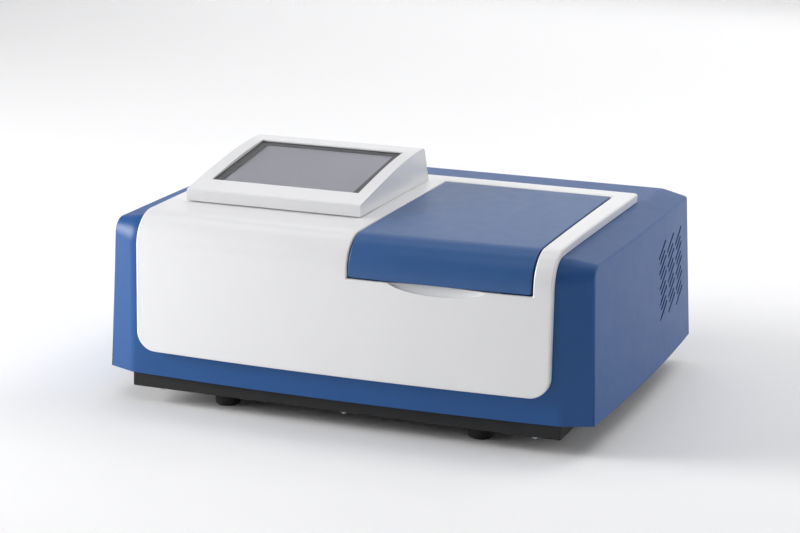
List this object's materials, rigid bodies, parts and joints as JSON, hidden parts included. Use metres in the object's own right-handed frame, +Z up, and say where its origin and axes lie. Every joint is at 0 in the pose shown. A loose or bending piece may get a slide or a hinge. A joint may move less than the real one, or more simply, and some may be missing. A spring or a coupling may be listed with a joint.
{
  "type": "spectrophotometer",
  "caption": "Benchtop spectrophotometer: bowed housing, wrap-over fascia, hinged sample lid, sloping touch-screen console, cell carriage and optics inside.",
  "frame": {"origin": "on the bench, under the middle of the instrument's box", "axes": "+X to the instrument's right, +Y to its back, +Z up"},
  "size_m": [0.4792, 0.36, 0.2156],
  "materials": {
    "housing_blue": "satin moulded plastic, fine texture",
    "lid_blue": "satin moulded plastic, fine texture",
    "fascia_white": "semi-gloss moulded plastic",
    "console_white": "semi-gloss moulded plastic",
    "tray_black": "black powder coat on folded steel",
    "foot_rubber": "matte",
    "screw_steel": "plated",
    "hinge_steel": "ground",
    "black_plastic": "matte moulded plastic",
    "seal_foam": "open foam",
    "anodised_black": "black anodised",
    "bench_aluminium": "machined casting",
    "sheet_steel": "folded sheet",
    "motor_black": "satin black",
    "optic_glass": "polished",
    "optic_mirror": "aluminised",
    "lamp_glass": "clear bulb on a ceramic base",
    "circuit_green": "soldered circuit board",
    "touch_glass": "gloss cover glass",
    "bezel_grey": "dark grey printed border",
    "lcd_grey": "unlit liquid-crystal panel"
  },
  "bodies": {
    "root": {"base_tray": "tray_black", "foot_front_left": "foot_rubber", "foot_front_right": "foot_rubber", "foot_rear_left": "foot_rubber", "foot_rear_right": "foot_rubber", "tray_screw_left": "screw_steel", "tray_screw_centre": "screw_steel", "tray_screw_right": "screw_steel", "housing_shell": "housing_blue", "front_fascia": "fascia_white", "hinge_bracket_left": "hinge_steel", "hinge_bracket_right": "hinge_steel", "sample_compartment": "black_plastic", "compartment_seal": "seal_foam", "carriage_rail": "hinge_steel", "carriage_motor": "motor_black", "beam_lens_entry": "optic_glass", "beam_lens_exit": "optic_glass", "optical_bench": "bench_aluminium", "monochromator_box": "anodised_black", "monochromator_cover": "anodised_black", "grating_motor": "motor_black", "collimating_mirror": "optic_mirror", "focusing_mirror": "optic_mirror", "filter_motor": "motor_black", "lamp_house": "bench_aluminium", "tungsten_lamp": "lamp_glass", "deuterium_lamp": "lamp_glass", "source_mirror_motor": "motor_black", "detector_housing": "bench_aluminium", "photodetector": "hinge_steel", "detector_board": "circuit_green", "power_supply": "sheet_steel", "main_board": "circuit_green", "fan_frame": "black_plastic", "fan_guard": "motor_black", "power_inlet": "black_plastic", "rocker_frame": "black_plastic", "usb_port": "screw_steel", "serial_port": "screw_steel", "console_housing": "console_white", "touch_glass": "touch_glass", "display_bezel": "bezel_grey", "lcd_panel": "lcd_grey", "display_board": "circuit_green"},
    "lid": {"sample_lid": "lid_blue", "lid_liner": "black_plastic", "hinge_pin_left": "hinge_steel", "hinge_pin_right": "hinge_steel"},
    "carriage": {"cell_carriage": "anodised_black"},
    "screw": {"carriage_screw": "hinge_steel"},
    "grating_stage": {"grating_turntable": "bench_aluminium", "diffraction_grating": "optic_mirror"},
    "filters": {"filter_wheel": "anodised_black"},
    "source_selector": {"source_mirror": "optic_mirror"},
    "rotor": {"fan_rotor": "black_plastic"},
    "rocker": {"power_rocker": "black_plastic"},
    "drawer": {"fuse_drawer": "black_plastic"}
  },
  "joints": [
    {"name": "lid_hinge", "type": "hinge", "parent": "root", "child": "lid", "pos_m": [0.0952, 0.072, 0.1758], "axis": [-1, 0, 0], "range_deg": [0, 75]},
    {"name": "carriage_slide", "type": "slide", "parent": "root", "child": "carriage", "axis": [0, 1, 0], "range_m": [0, 0.06]},
    {"name": "screw_turn", "type": "hinge", "parent": "root", "child": "screw", "pos_m": [0.115, -0.043, 0.084], "axis": [0, 1, 0], "range_deg": [-1, 1801]},
    {"name": "grating_turn", "type": "hinge", "parent": "root", "child": "grating_stage", "pos_m": [-0.11, -0.014, 0.1], "axis": [0, 0, 1], "range_deg": [-30, 30]},
    {"name": "filter_turn", "type": "hinge", "parent": "root", "child": "filters", "pos_m": [-0.04, 0.0265, 0.094], "axis": [0, 1, 0], "continuous": true},
    {"name": "source_select", "type": "hinge", "parent": "root", "child": "source_selector", "pos_m": [-0.04, 0.118, 0.1], "axis": [0, 0, 1], "range_deg": [-10, 10]},
    {"name": "fan_spin", "type": "hinge", "parent": "root", "child": "rotor", "pos_m": [0.1, 0.16, 0.106], "axis": [0, 1, 0], "continuous": true},
    {"name": "power_rock", "type": "hinge", "parent": "root", "child": "rocker", "pos_m": [-0.197, 0.174, 0.075], "axis": [0, 0, 1], "range_deg": [0, 16]},
    {"name": "fuse_drawer_slide", "type": "slide", "parent": "root", "child": "drawer", "axis": [0, 1, 0], "range_m": [0, 0.015]}
  ],
  "couplings": [
    {"joint": "screw_turn", "follows": "carriage_slide", "rad_per_m": 523.6}
  ]
}
